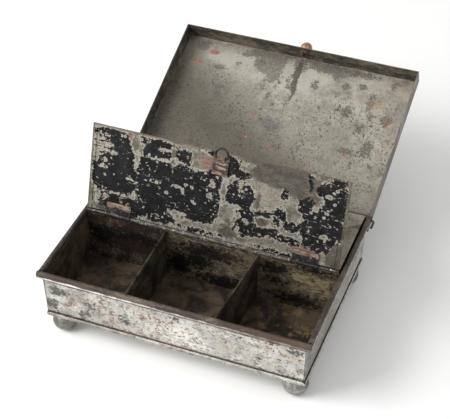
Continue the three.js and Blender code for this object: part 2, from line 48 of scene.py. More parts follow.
COLORS = {name: srgb(code) for name, code in {
    "rust": "7d5140", "rust spot light": "95705a", "rust spot dark": "7c513c",

    "wall dull": "bbb8b1", "wall bright": "e2dfd9", "side dull": "989590", "side bright": "c8c5be",
    "side smear": "7c6f63", "wall mottle": "8a8781", "wall grain": "6d6a65", "wall dots": "4e4c4a",
    "wall shade": "87847e", "wall patch": "474645", "wall foot": "6a5a4b", "under rim rust and shade": "5e4638",
    "rim dark": "3f342d", "rim light": "72675d", "rim grain": "2e2620", "rim warm": "5c4435", "rim painted highlight": "edeae4",
    "well dark": "221c17", "well light": "5b4c3b", "well tan": "8a7653",

    "sheet dark": "1c1916", "sheet light": "4a4338", "sheet streak": "1b1714", "sheet mottle": "6d6353",
    "sheet rust": "4f2b1c", "sheet specks": "867c6a", "partition dark": "453e34", "partition tan": "7f7561",
    "partition gold": "978966", "partition black": "060608", "partition brown": "33241f",

    "wire dark": "3c3731", "wire light": "6f6a61", "wire stain": "2c2621", "wire glint": "d0ccc3",
    "ring dark": "1f1b19", "ring light": "443d37",
    "copper dark": "84664f", "copper light": "b8917a", "copper stain": "5c4132",
    "screw dark": "36211c", "screw light": "5f4037",
    "strap dark": "1c1a19", "strap light": "3d3935", "strap specks": "8d877c",
    "solder dark": "5d4a43", "solder light": "a3917f", "solder red": "6b4139",
    "plate dark": "3a2624", "plate light": "83685d", "plate bright": "a19a8f", "plate blots": "26201f",
    "foot light": "a9a7a0", "foot mid": "75726b", "foot dark": "3b3833", "foot sole": "57544f",

    "lacquer dark": "09090b", "lacquer light": "1b1a1e",
    "bare dark": "645f56", "bare light": "8a857a", "bare grain": "4b463f", "bare halo": "a8a398",
    "bare pale": "a19b8f", "film dark": "46423e", "film light": "5a534b",
    "pink solder": "8b6f62", "pink shadow": "4d3834", "leaf edge": "5c4f45", "leaf hem": "2a2622",
    "behind dark": "4f4b45", "behind light": "8d887e", "behind black": "19181b", "behind grain": "3a3630",

    "top light": "989285", "top mid": "797366", "top dark": "49443a", "top patch": "3c3a36", "top shade": "4a4640",
    "roll dark": "3a342e", "roll light": "6f6960", "roll grain": "28231f", "roll glint": "c2bfb8",

    "lid dull": "a09a8f", "lid bright": "c2bcb0", "lid mottle": "807a6f", "lid grain": "655f54",
    "lid painted shade": "4e483e", "lid specks": "3d3830", "lid painted reflection": "c6c1b7", "lid film": "706a62",
    "lid stains": "5f5a51", "lid bar": "575048", "lid warm": "9c8363", "lid blue": "57595a",
    "orange light": "a87a5e", "orange dark": "875a42", "lid edge": "7d634c", "lid flange painted shade": "4a463f",
    "flange inside dark": "3b352f", "flange inside light": "776e62", "flange inside worn": "9b9184",
    "shell dark": "5a554d", "shell light": "98938a", "shell black": "34302c", "shell grain": "45403a",
}.items()}


class Shade:
    """A node material with one Principled BSDF, whose helpers add nodes and return an output socket.

    A value handed to a helper is a number or a socket, a colour is a socket or a name in COLORS. Noise lies about
    0.5. Its scale counts per metre, or per mm where its place comes from a flat map in mm."""

    def __init__(self, name):
        self.mat = bpy.data.materials.new(name)
        self.mat.use_nodes = True
        self.tree = self.mat.node_tree
        self.tree.nodes.clear()
        out = self.add("ShaderNodeOutputMaterial")
        self.bsdf = self.add("ShaderNodeBsdfPrincipled")
        self.put(out.inputs[0], self.bsdf.outputs[0])
        coord = self.add("ShaderNodeTexCoord")
        self.pos = coord.outputs["Object"]
        self.normal = coord.outputs["Normal"]

    def add(self, kind, **props):
        node = self.tree.nodes.new(kind)
        for key, value in props.items():
            setattr(node, key, value)
        return node

    def put(self, socket, value):
        """Link a socket to the input, or set the input to a number, vector or colour."""
        if isinstance(value, bpy.types.NodeSocket):
            self.tree.links.new(value, socket)
        else:
            socket.default_value = value

    def math(self, op, a, b=0.0):
        node = self.add("ShaderNodeMath", operation=op)
        self.put(node.inputs[0], a)
        self.put(node.inputs[1], b)
        return node.outputs[0]

    def fold(self, op, values):
        total = values[0]
        for value in values[1:]:
            total = self.math(op, total, value)
        return total

    def plus(self, *values):
        return self.fold("ADD", values)

    def times(self, *values):
        return self.fold("MULTIPLY", values)

    def most(self, *values):
        return self.fold("MAXIMUM", values)

    def minus(self, a, b):
        return self.math("SUBTRACT", a, b)

    def rest(self, value):
        """What is missing to 1."""
        return self.minus(1.0, value)

    def vmath(self, op, a, b=(0, 0, 0)):
        node = self.add("ShaderNodeVectorMath", operation=op)
        self.put(node.inputs[0], a)
        self.put(node.inputs[1], b)
        return node.outputs["Value" if op in ("LENGTH", "DOT_PRODUCT") else "Vector"]

    def scaled(self, vector, scale):
        return self.vmath("MULTIPLY", vector, scale)

    def mapped(self, scale):
        """Object coordinates stretched along the axes, for streaks in a noise."""
        node = self.add("ShaderNodeMapping")
        self.put(node.inputs["Vector"], self.pos)
        node.inputs["Scale"].default_value = scale
        return node.outputs[0]

    def axis(self, which, vector):
        node = self.add("ShaderNodeSeparateXYZ")
        self.put(node.inputs[0], vector)
        return node.outputs["XYZ".index(which)]

    def join(self, u, v):
        """Flat map from two coordinates."""
        node = self.add("ShaderNodeCombineXYZ")
        self.put(node.inputs[0], u)
        self.put(node.inputs[1], v)
        return node.outputs[0]

    def mm(self, which):
        """Coordinate along an axis, in mm."""
        return self.times(self.axis(which, self.pos), MM_PER_METRE)

    def reach(self, origin, direction):
        """Distance from origin along direction, in mm."""
        away = self.vmath("SUBTRACT", self.pos, tuple(origin))
        return self.times(self.vmath("DOT_PRODUCT", away, tuple(direction)), MM_PER_METRE)

    def facing(self, direction):
        return self.vmath("DOT_PRODUCT", self.normal, tuple(direction))

    def noise(self, scale, detail, rough, twist=0.0, vector=None):
        node = self.add("ShaderNodeTexNoise")
        self.put(node.inputs["Vector"], self.pos if vector is None else vector)
        node.inputs["Scale"].default_value = scale
        node.inputs["Detail"].default_value = detail
        node.inputs["Roughness"].default_value = rough
        node.inputs["Distortion"].default_value = twist
        return node.outputs[0]

    def cells(self, scale, vector):
        """Distance to the nearest of scattered points."""
        node = self.add("ShaderNodeTexVoronoi")
        self.put(node.inputs["Vector"], vector)
        node.inputs["Scale"].default_value = scale
        return node.outputs["Distance"]

    def step(self, value, low, high, start=0.0, end=1.0):
        """Smooth step from start, where value is at low, to end, where it is at high."""
        node = self.add("ShaderNodeMapRange", interpolation_type="SMOOTHSTEP")
        self.put(node.inputs["Value"], value)
        node.inputs["From Min"].default_value = low
        node.inputs["From Max"].default_value = high
        node.inputs["To Min"].default_value = start
        node.inputs["To Max"].default_value = end
        return node.outputs["Result"]

    def mix(self, cover, under, over):
        node = self.add("ShaderNodeMix", data_type="RGBA")
        self.put(node.inputs["Factor"], cover)
        for socket, color in ((node.inputs[6], under), (node.inputs[7], over)):
            self.put(socket, COLORS[color] if isinstance(color, str) else color)
        return node.outputs[2]

    def coat(self, color, tint, value, low, high, cover=1.0):
        """Colour with a tint over it that sets in where value is at low and is in full from high."""
        return self.mix(self.step(value, low, high, 0.0, cover), color, tint)

    def blend(self, cover, under, over):
        """Number between two numbers."""
        node = self.add("ShaderNodeMix", data_type="FLOAT")
        self.put(node.inputs["Factor"], cover)
        self.put(node.inputs[2], under)
        self.put(node.inputs[3], over)
        return node.outputs[0]

    def sway(self, noise, amount):
        """Noise centred on 0, times amount."""
        return self.times(self.minus(noise, 0.5), amount)

    def islands(self, uv, forms, *sways):
        """Depth in mm inside the nearest ellipse (u, v, half width, half height) on a flat map, and below 0 outside.

        Each sway, a noise with an amount in mm, makes the coasts more ragged."""
        depths = []
        for u, v, wide, high in forms:
            away = self.scaled(self.vmath("SUBTRACT", uv, (u, v, 0)), (1 / wide, 1 / high, 0))
            depths.append(self.times(self.rest(self.vmath("LENGTH", away)), min(wide, high)))
        return self.plus(self.most(*depths), *(self.sway(*sway) for sway in sways))

    def done(self, color, rough, metal, height, strength, distance=0.0002, specular=0.5):
        """Set the shader, with height as its bump, and return the material."""
        self.bsdf.inputs["Specular IOR Level"].default_value = specular
        self.put(self.bsdf.inputs["Base Color"], color)
        self.put(self.bsdf.inputs["Roughness"], rough)
        self.put(self.bsdf.inputs["Metallic"], metal)
        bump = self.add("ShaderNodeBump")
        bump.inputs["Strength"].default_value = strength
        bump.inputs["Distance"].default_value = distance
        self.put(bump.inputs["Height"], height)
        self.put(self.bsdf.inputs["Normal"], bump.outputs[0])
        return self.mat


# Wear that several pieces share

def worn_tin(s, light, mid, dark, scale=1.0):
    """Cloudy tinplate with mottled dark islands and fine pits; returns its colour and the pits' noise."""
    grain = s.noise(620 * scale, 4, 0.7)
    color = s.mix(s.step(s.noise(30 * scale, 9, 0.66, 0.3), 0.38, 0.62), mid, light)
    color = s.coat(color, dark, s.noise(130 * scale, 7, 0.72, 0.4), 0.50, 0.64, 0.7)
    return s.coat(color, dark, grain, 0.50, 0.70, 0.45), grain


def rusted(s, color, vector=None, scale=1.0):
    """Reddish specks that gather in clusters; returns the colour and where the specks are."""
    clusters = s.step(s.noise(48 * scale, 3, 0.5, 0.0, vector), 0.46, 0.60)
    specks = s.step(s.noise(480 * scale, 4, 0.65, 0.3, vector), 0.575, 0.605)
    rust = s.times(clusters, specks, 0.8)
    return s.mix(rust, color, "rust"), rust


# Walls and base

FRONT_PATCHES = (
    (-86, 42.2, 6, 4), (-91, 29.2, 5, 6), (-67, 27.2, 4, 2.5), (-60, 36.2, 5, 3), (-35, 30.2, 4, 3), (-36, 35.2, 3, 2),
    (48, 45.2, 3, 2), (90, 46.2, 5, 2.6), (80, 48.2, 7, 0.8), (-50, 46.2, 3, 1), (20, 32.2, 2, 1.6),
    (76, 32.2, 1.2, 1.2), (63, 29.2, 1.2, 1.4), (61, 25.2, 1.2, 1), (2, 47.2, 3, 1.2), (84, 20.2, 16, 0.8),
    (-72, 20.6, 16, 1.1), (93, 28.2, 1.2, 3))
FRONT_RUST = (
    (-71, 43.2, 1, 1), (-63, 42.2, 2.2, 0.9), (-77, 35, 1.6, 1), (-73, 33.4, 1.2, 0.9), (-74, 38, 0.9, 0.8),
    (-79, 31, 1, 0.7), (-53, 40.2, 2, 0.8), (-45, 34.2, 0.8, 1.4), (-45, 30.2, 0.6, 2), (-22, 39.2, 4, 0.8),
    (-16, 37.2, 1, 3.4), (-20, 31.2, 1.6, 0.8), (-11, 33.2, 1.4, 2.4), (-9, 40.2, 1.6, 1.2), (0, 42.2, 0.8, 1),
    (-5, 22.2, 16, 0.7), (-35, 22.2, 2.4, 0.7), (15, 36.2, 2, 0.8), (40, 39.2, 3, 1), (65, 42.2, 2, 0.8),
    (73, 43.2, 2, 0.6), (89, 40.2, 5, 0.9), (92, 29.2, 0.8, 2.4), (-28, 41.2, 1.6, 1.6))


def stretched(s, along, scale):
    """Coordinates stretched along a wall."""
    return s.mapped((scale, 1, 1) if along == "X" else (1, scale, 1))


def wall_wear(s, w, color, patches, spots):
    """Specks, dark patches, shade towards the rim and the left end, and rust; returns colour and rust."""
    color = s.coat(color, "wall mottle", w.mottle, 0.52, 0.62, 0.55)
    color = s.coat(color, "wall grain", w.grain, 0.54, 0.60, 0.75 if patches else 0.5)
    dots = s.step(s.noise(760, 3, 0.6, 0.0, w.flat), 0.61, 0.65, 0.0, 0.8)
    clusters = s.step(s.noise(40, 3, 0.5, 0.0, w.flat), 0.44, 0.60)
    color = s.mix(s.times(dots, clusters), color, "wall dots")

    left_end = s.step(w.u, -20, -85)
    shade = s.step(s.plus(w.z, s.sway(w.cloud, 30)), 36, 56, 0.0, 0.4)
    shade = s.most(shade, s.times(left_end, s.step(w.mottle, 0.36, 0.56, 0.25, 0.65)))
    color = s.mix(shade, color, "wall shade")

    patch = s.plus(s.noise(64, 6, 0.66, 0.2, w.flat), s.step(w.z, 30, 52, 0.0, 0.04), s.times(left_end, 0.05))
    patch = s.step(patch, 0.630, 0.660)
    if patches:
        own = s.step(s.islands(w.uv, patches, (w.mottle, 14), (w.grain, 14)), -0.8, 1.2)
        patch = s.most(s.times(patch, 0.4), s.times(own, s.step(w.grain, 0.38, 0.54, 0.4, 1.0)))
    color = s.mix(s.times(patch, 0.85), color, "wall patch")

    color, rust = rusted(s, color, w.flat)
    if spots:
        grit = s.noise(1000, 3, 0.6, 0.2, w.flat)
        own = s.step(s.islands(w.uv, spots, (w.mottle, 8), (w.grain, 10), (grit, 9)), 0.0, 0.6, 0.0, 0.8)
        color = s.mix(own, color, s.mix(s.step(w.grain, 0.42, 0.60), "rust spot light", "rust spot dark"))
        rust = s.most(rust, own)
    return color, rust


def wall_edges(s, w, color):
    """Brown foot, rim, rust and painted shade below the rim, and the rim's painted highlight outside; returns colour
    and rim.
    """
    foot = s.step(w.z, FOOT_TOP - 2.4, FOOT_TOP, 1.0, 0.0)
    color = s.mix(s.times(foot, s.step(w.mottle, 0.46, 0.60, 0.05, 0.45)), color, "wall foot")

    rim = s.step(w.z, RIM_LOW, RIM_LOW + 0.6)
    worn = s.step(s.noise(70, 7, 0.7, 0.3, s.mapped((0.4, 0.4, 1.6))), 0.46, 0.66)
    brown = s.coat(s.mix(worn, "rim dark", "rim light"), "rim grain", w.grain, 0.48, 0.62, 0.6)
    warm = s.times(s.step(w.u, 20, 90), s.step(w.cloud, 0.42, 0.56, 0.1, 0.5))
    color = s.mix(rim, color, s.mix(warm, brown, "rim warm"))

    # Painted highlight: a bright band along the rim's lower edge on outward faces, a painted reflection of the bright
    # floor
    painted_highlight = s.times(
        s.step(w.z, HIGHLIGHT_LOW, HIGHLIGHT_LOW + 0.3),
        s.step(s.plus(w.z, s.sway(w.mottle, 3)), HIGHLIGHT_TOP - 0.8, HIGHLIGHT_TOP, 1.0, 0.0),
        s.step(w.mottle, 0.42, 0.54, 1.0, 0.6),
        s.step(w.u, 80, -60, 0.25, 1.0),
        s.step(w.inner, -0.5, 0.0, 1.0, 0.0),
        0.95)
    color = s.mix(painted_highlight, color, "rim painted highlight")

    # Brown line below the rim: partly rust, partly painted shade under the rim's bead
    rust_and_shade_line = s.plus(w.z, s.sway(s.noise(36, 4, 0.6, 0.0, w.flat), 4))
    rust_and_shade_line = s.times(s.step(rust_and_shade_line, RUST_AND_SHADE_LOW, RUST_AND_SHADE_LOW + 0.8), s.step(w.z, HIGHLIGHT_LOW - 0.2, HIGHLIGHT_LOW + 0.2, 1.0, 0.0))
    return s.mix(s.times(rust_and_shade_line, s.step(w.mottle, 0.40, 0.56, 0.65, 1.0)), color, "under rim rust and shade"), rim


def wall_inside(s, w, is_base):
    """Dark inner face, tan towards the right; returns its colour and where it is."""
    color = s.mix(s.step(s.noise(60, 8, 0.7, 0.5), 0.40, 0.62), "well dark", "well light")
    tan = s.times(s.step(s.noise(95, 6, 0.7, 0.4), 0.52, 0.62), s.step(s.mm("X"), 30, 70, 0.15, 0.85))
    is_in = s.step(w.inner, 0.15, 0.35)
    if not is_base:
        is_in = s.times(is_in, s.step(w.z, RIM_LOW, RIM_LOW + 0.6, 1.0, 0.0))
    return s.mix(tan, color, "well tan"), is_in


def wall_tin(name, along, face, inward, patches=(), spots=()):
    """Sheet of a wall or the base, which runs along one axis and faces another.

    inward is the sign of the inner face's normal on the latter. patches are dark islands, and spots rusty ones."""
    s = Shade(name)
    is_base = face == "Z"
    run, z = s.mm(along), s.mm("Z")
    flat = stretched(s, along, 0.8)
    w = SimpleNamespace(
        u=run, z=z, uv=s.join(run, z), flat=flat, inner=s.times(s.axis(face, s.normal), inward),
        cloud=s.noise(34, 8, 0.64, 0.3, flat), mottle=s.noise(150, 6, 0.70, 0.3, flat),
        grain=s.noise(560, 4, 0.68, 0.0, flat))
    clouds = s.step(w.cloud, 0.40, 0.60)
    if patches or is_base:
        color = s.mix(clouds, "wall dull", "wall bright")
    else:
        smear = s.noise(70, 5, 0.65, 0.2, stretched(s, along, 0.35))
        color = s.coat(s.mix(clouds, "side dull", "side bright"), "side smear", smear, 0.50, 0.60, 0.6)
    color, rust = wall_wear(s, w, color, patches, spots)
    color, rim = wall_edges(s, w, color)
    inside, is_in = wall_inside(s, w, is_base)
    dull = s.most(is_in, rust, s.times(rim, 0.7))
    rough = s.blend(s.step(w.mottle, 0.45, 0.62), 0.36, 0.52)
    return s.done(s.mix(is_in, color, inside), s.blend(dull, rough, 0.66), s.blend(dull, 0.65, 0.12), w.grain, 0.3)


# Partition and dividers

PARTITION_GOLD = ((70, 46, 9, 6), (84, 42, 8, 9), (64, 36, 9, 2))
PARTITION_BLACK = (
    (-2, 47, 20, 7), (-9, 37, 12, 7), (49, 49, 10, 6), (52, 37.5, 8, 2.2), (-24, 30, 9, 10), (-66, 40, 30, 12),
    (12, 22, 20, 6), (66, 24, 16, 5), (78, 55, 14, 2))
PARTITION_BROWN = ((-66, 52, 26, 4), (-60, 34, 20, 6), (16, 49, 8, 4))


def interior_tin(name, partition=False):
    """Dark stained sheet; the partition is tan right of its left compartment, with gold, black and brown areas."""
    s = Shade(name)
    base = s.noise(60, 8, 0.7, 0.6)
    color = s.mix(s.step(base, 0.40, 0.62), "sheet dark", "sheet light")
    color = s.coat(color, "sheet streak", s.noise(90, 6, 0.7, 0.3, s.mapped((0.5, 0.5, 2.2))), 0.52, 0.62, 0.6)
    color = s.coat(color, "sheet mottle", s.noise(240, 6, 0.72), 0.56, 0.64, 0.6)
    color = s.coat(color, "sheet rust", s.noise(150, 6, 0.7, 0.4), 0.60, 0.66, 0.6)
    specks = s.times(s.step(s.noise(700, 4, 0.65), 0.60, 0.63), s.step(base, 0.44, 0.58, 0.15, 0.75))
    color = s.mix(specks, color, "sheet specks")
    if partition:
        x = s.mm("X")
        uv = s.join(x, s.mm("Z"))
        lace = s.noise(0.26, 5, 0.7, 0.3, uv)
        fine = s.noise(0.8, 5, 0.7, 0.2, uv)
        rows = s.noise(0.30, 5, 0.7, 0.2, s.scaled(uv, (0.5, 1.5, 1)))
        tan = s.mix(s.step(rows, 0.42, 0.60), "partition dark", "partition tan")
        color = s.coat(color, tan, x, -34, -30, 0.85)
        gold = s.step(s.islands(uv, PARTITION_GOLD, (lace, 24), (rows, 24), (fine, 10)), -0.5, 2.0)
        color = s.mix(s.times(gold, s.step(rows, 0.40, 0.62, 0.25, 0.75)), color, "partition gold")
        black = s.step(s.islands(uv, PARTITION_BLACK, (lace, 22), (fine, 12), (rows, 24)), -0.3, 0.4, 0.0, 0.95)
        color = s.mix(s.times(black, s.rest(s.times(specks, 0.5))), color, "partition black")
        brown = s.islands(uv, PARTITION_BROWN, (lace, 24), (fine, 16))
        color = s.coat(color, "partition brown", brown, -0.5, 1.0, 0.6)
    return s.done(color, 0.6, 0.1, base, 0.3, 0.0003, specular=0.2)


# Small pieces

def small_metal(name, clouds, turn, colors, coats=(), rough=0.5, metal=0.35, bump=0.3):
    """Clouded metal: clouds are a noise's settings and turn is where it goes from the first colour to the second.

    Each coat has a noise's settings, where it sets in and is in full, how far it covers, and its colour."""
    s = Shade(name)
    cloud = s.noise(*clouds)
    color = s.mix(s.step(cloud, *turn), *colors)
    for settings, low, high, cover, tint in coats:
        color = s.coat(color, tint, s.noise(*settings), low, high, cover)
    return s.done(color, rough, metal, cloud, bump)


def strap_tin(name, soldered=False):
    """Dark strap; one that is soldered to the front leaf has pinkish solder along its upper edge there."""
    s = Shade(name)
    cloud = s.noise(150, 7, 0.7, 0.5)
    fine = s.noise(620, 5, 0.7, 0.2)
    color = s.mix(s.step(cloud, 0.46, 0.58), "strap dark", "strap light")
    color = s.coat(color, "strap specks", fine, 0.60, 0.63, 0.9)
    if soldered:
        grain = s.noise(330, 5, 0.7, 0.0, s.mapped((0.4, 1, 1.6)))
        solder = s.mix(s.step(grain, 0.40, 0.60), "solder dark", "solder light")
        solder = s.coat(solder, "solder red", s.noise(420, 4, 0.6), 0.58, 0.62, 0.7)
        edge = s.plus(s.reach(RAIL, UP_LEAF), s.sway(s.noise(190, 4, 0.6), 6), s.sway(fine, 3))
        color = s.coat(color, solder, edge, 5.6, 6.6, 0.95)
    return s.done(color, 0.5, 0.4, cloud, 0.4, 0.0003)


def plate_tin(name):
    """Pull plate streaked with solder and red rust."""
    s = Shade(name)
    streaks = s.noise(340, 4, 0.65, 0.3, s.mapped((0.35, 1, 2.2)))
    color = s.mix(s.step(streaks, 0.44, 0.54), "plate dark", "plate light")
    color = s.coat(color, "plate bright", streaks, 0.56, 0.62, 0.9)
    color = s.coat(color, "plate blots", s.noise(150, 5, 0.65, 0.3), 0.52, 0.58, 0.8)
    return s.done(color, 0.5, 0.3, streaks, 0.4, 0.0003)


def foot_tin(name):
    s = Shade(name)
    color, grain = worn_tin(s, "foot light", "foot mid", "foot dark", 1.9)
    color = s.mix(s.step(s.mm("Z"), 3, 9, 0.5, 0.0), color, "foot sole")
    return s.done(color, 0.38, 0.7, grain, 0.2)


# Leaves

LACQUER = (
    (-85, 63, 9, 2.4), (-87, 51, 7, 9), (-76, 59, 9, 6.5), (-70, 53, 9, 8), (-76, 31, 18, 17), (-66, 40, 10, 14),
    (-90, 31, 5, 9), (-66, 9, 20, 6), (-42, 9, 14, 5), (-58, 62, 4, 2.2), (-43, 62.5, 9.5, 2.4), (-49, 55, 6, 8),
    (-38, 56, 5.5, 3.2), (-50, 32, 10, 24), (-40, 32, 14, 19), (-25, 32, 14, 19), (-24.5, 57.5, 6, 4.4),
    (-13, 32, 13, 19), (-12, 17, 14, 5.5), (-2, 31, 7, 16), (-1, 46, 6, 5), (5, 64.5, 9, 1.8), (10.5, 58.5, 4.6, 7),
    (17, 54.5, 5, 3), (13, 39, 5.8, 8.4), (22.5, 39, 5.6, 8.4), (24, 24, 9, 5), (27, 16, 10, 6), (-4, 51, 6, 1.2),
    (37, 28.7, 5.4, 2.6), (48.7, 29.5, 4.2, 6.4), (57, 24.5, 7, 2.6), (42, 17, 6.5, 3.2), (54, 14.5, 8, 2.4),
    (67, 42.5, 6, 6), (69, 28, 5, 11), (82, 34, 13, 9), (86.5, 51, 8.5, 16), (78, 57, 5, 5), (90, 33, 5, 12),
    (80, 20, 9, 9), (72, 20, 6, 7), (68, 62, 1.6, 4.4), (50, 48, 1.8, 2.6), (-9, 4.6, 8, 0.9), (50, 3, 6, 0.5))
BARE = (
    (-90, 57, 6, 1.4), (-88, 53, 8, 2.2), (-90, 49, 6, 1.6), (-92, 45, 4, 1.2), (-84, 60, 3, 1), (-62, 59, 4.2, 7.5),
    (-60.5, 47, 2, 8), (-85, 41, 1.4, 2.4), (-86, 36, 3.6, 1.4), (-78.5, 48, 3, 1.6), (-33.4, 57, 1.4, 11),
    (-42, 51, 8, 0.8), (-39, 59, 6, 0.8), (-12, 57.5, 8, 7.5), (-16, 49.5, 1.6, 3), (6, 40, 2.6, 10),
    (18, 45, 1.2, 3), (-2.5, 41.5, 2, 2.8), (-3.5, 33.3, 2.4, 1.8), (11, 24, 6, 5), (18, 23, 2, 2),
    (24.5, 20.5, 3.4, 1.5), (36, 23, 6, 4.4), (12, 29.5, 7, 1.6), (-27, 14, 6, 2), (-24, 31.5, 1.6, 2.6),
    (-29, 34, 3, 1.2), (-72, 17.5, 12, 0.8), (-60, 20, 3, 0.8), (73, 42.5, 2.2, 3.4), (76.5, 48, 3, 1.8),
    (82, 53, 3, 1.8), (82, 23, 3.6, 1.8), (81.5, 40.5, 1.5, 1.5), (72, 62, 2.4, 3))
LEAF_PALE = ((43, 42, 15, 9), (34, 50, 12, 3), (12, 52, 14, 1.6))
LEAF_FILM = (
    (50, 59, 27, 8.5), (66, 48, 9, 5), (32, 38, 1.3, 12), (-33.5, 57, 1.3, 13), (12, 9, 6.5, 4.5), (36, 23, 3.5, 3),
    (92, 9, 7, 12), (40, 66, 40, 2), (60, 53, 12, 6), (-80, 5, 10, 4))
LEAF_PINK = ((-8, 57, 5, 5.5), (-71, 10.6, 11, 3), (71, 10.8, 11, 2.8), (-19, 57, 1.8, 1.8), (-67, 63, 1.8, 2.5))


def lacquer(s, m):
    """Returns where lacquer covers the leaf, its depth from the coast in mm, where it is open, and the hearts of its
    round holes."""
    field = s.plus(s.islands(m.uv, LACQUER, (m.coarse, 6), (m.lace, 9), (m.fine, 2.5)), 0.7)
    gaps = s.islands(m.uv, BARE, (m.lace, 6), (m.fine, 3))
    depth = s.math("MINIMUM", field, s.times(gaps, -1.0))

    rows = s.noise(0.46, 4, 0.65, 0.0, s.scaled(m.uv, (0.45, 1.5, 1.0)))
    peck = s.most(s.plus(m.lace, -0.035), s.plus(m.fine, -0.055), s.plus(rows, -0.005))
    peck = s.plus(peck, s.sway(s.noise(0.05, 2, 0.5, 0.0, m.uv), 0.20))
    worn = s.step(s.minus(peck, s.step(m.u, -10, 0, 0.018, 0.0)), 0.614, 0.628)

    spots = s.cells(0.21, s.join(s.plus(m.u, s.times(m.lace, 3.0)), m.v))
    size = s.step(s.noise(0.16, 2, 0.5, 0.0, s.vmath("ADD", m.uv, (40, 9, 0))), 0.42, 0.62, 0.0, 0.36)
    hole = s.step(s.minus(spots, size), -0.03, 0.0, 1.0, 0.0)
    heart = s.step(s.minus(spots, s.times(size, 0.5)), -0.03, 0.0, 1.0, 0.0)
    opened = s.most(worn, hole)

    flecks = s.step(s.noise(0.75, 5, 0.7, 0.3, m.uv), 0.61, 0.63)
    flecks = s.times(flecks, s.step(s.noise(0.07, 3, 0.5, 0.0, m.uv), 0.46, 0.56, 0.1, 0.9))
    cover = s.minus(s.step(depth, -0.15, 0.25), s.times(opened, 0.96))
    return s.most(cover, flecks), depth, opened, heart


def bare_leaf(s, m, depth, opened, heart):
    """Tin where the lacquer is gone: pale along its coasts, with dark film and pinkish solder."""
    color = s.mix(s.step(s.noise(0.10, 7, 0.7, 0.0, m.uv), 0.40, 0.58), "bare dark", "bare light")
    color = s.coat(color, "bare grain", s.noise(0.9, 6, 0.75, 0.0, m.uv), 0.50, 0.56, 0.7)
    halo = s.times(s.step(depth, -1.8, -0.5), s.step(depth, -0.3, 0.1, 1.0, 0.0))
    halo = s.most(halo, s.times(opened, s.step(depth, 0.0, 0.6)))
    color = s.mix(s.times(halo, 0.85), color, "bare halo")

    pale = s.step(s.islands(m.uv, LEAF_PALE, (m.coarse, 8), (m.lace, 8), (m.fine, 4)), -0.5, 0.6)
    color = s.mix(s.times(pale, s.step(m.fine, 0.44, 0.56, 0.65, 0.1)), color, "bare pale")

    film = s.step(s.islands(m.uv, LEAF_FILM, (m.coarse, 6), (m.lace, 5)), -0.2, 0.4)
    film = s.times(s.most(film, s.times(heart, 0.8)), s.step(m.fine, 0.40, 0.60, 0.95, 0.70))
    color = s.mix(film, color, s.mix(s.step(m.coarse, 0.42, 0.58), "film dark", "film light"))

    pink = s.step(s.islands(m.uv, LEAF_PINK, (m.lace, 5), (m.fine, 4)), -0.6, 0.6)
    streaks = s.noise(0.35, 4, 0.65, 0.2, s.scaled(m.uv, (0.4, 2.4, 1.0)))
    color = s.mix(s.times(pink, s.step(streaks, 0.40, 0.56, 0.25, 0.9)), color, "pink solder")
    return s.mix(s.times(pink, s.step(streaks, 0.42, 0.48, 0.8, 0.0)), color, "pink shadow")


def japan_front(name):
    """Lacquered face of the standing front leaf, mapped in mm: u to the right, v up from the rail."""
    s = Shade(name)
    u, v = s.mm("X"), s.reach(RAIL, UP_LEAF)
    uv = s.join(u, v)
    m = SimpleNamespace(
        u=u, v=v, uv=uv, coarse=s.noise(0.14, 3, 0.6, 0.0, uv), lace=s.noise(0.30, 3, 0.6, 0.4, uv),
        fine=s.noise(0.85, 5, 0.7, 0.2, uv))
    cover, depth, opened, heart = lacquer(s, m)
    bare = bare_leaf(s, m, depth, opened, heart)

    edge = s.times(s.most(s.step(v, 66.0, 67.0), s.step(s.math("ABSOLUTE", u), 93.8, 94.4)), 0.6)
    black = s.mix(s.step(s.noise(0.12, 6, 0.65, 0.0, uv), 0.40, 0.66), "lacquer dark", "lacquer light")
    color = s.mix(s.times(cover, s.rest(edge)), s.mix(edge, bare, "leaf edge"), black)
    hem = s.times(s.step(u, 91.8, 92.2), s.step(u, 92.5, 92.9, 1.0, 0.0), s.step(m.lace, 0.40, 0.55, 0.35, 0.9))
    color = s.mix(hem, color, "leaf hem")

    back = s.mix(s.step(s.noise(0.055, 7, 0.68, 0.3, uv), 0.40, 0.60), "behind dark", "behind light")
    back = s.coat(back, "behind black", s.noise(0.11, 6, 0.7, 0.3, uv), 0.58, 0.61)
    back = s.coat(back, "behind grain", s.noise(0.9, 5, 0.7, 0.0, uv), 0.54, 0.60, 0.7)
    color = s.coat(color, back, s.facing(BEHIND_LEAF), 0.3, 0.6)
    return s.done(color, 0.54, s.blend(cover, 0.45, 0.0), cover, 0.4, specular=0.18)


def leaf_top(name):
    """Back leaf, with the knuckle that is rolled from its front edge round the rail."""
    s = Shade(name)
    y = s.mm("Y")
    color, grain = worn_tin(s, "top light", "top mid", "top dark")
    color = s.coat(color, "top patch", s.noise(85, 4, 0.55, 0.2), 0.60, 0.64, 0.75)
    color = s.coat(color, "top shade", y, -62.5, -64.5, 0.55)
    tube = s.noise(420, 5, 0.7, 0.2, s.mapped((0.4, 1, 1)))
    roll = s.mix(s.step(tube, 0.42, 0.60), "roll dark", "roll light")
    roll = s.coat(roll, "roll grain", s.noise(900, 4, 0.7), 0.52, 0.60, 0.8)
    roll = s.coat(roll, "roll glint", s.noise(480, 4, 0.65), 0.61, 0.65, 0.8)
    color = s.coat(color, roll, y, -65.2, -65.8)
    return s.done(color, 0.5, 0.35, grain, 0.2)
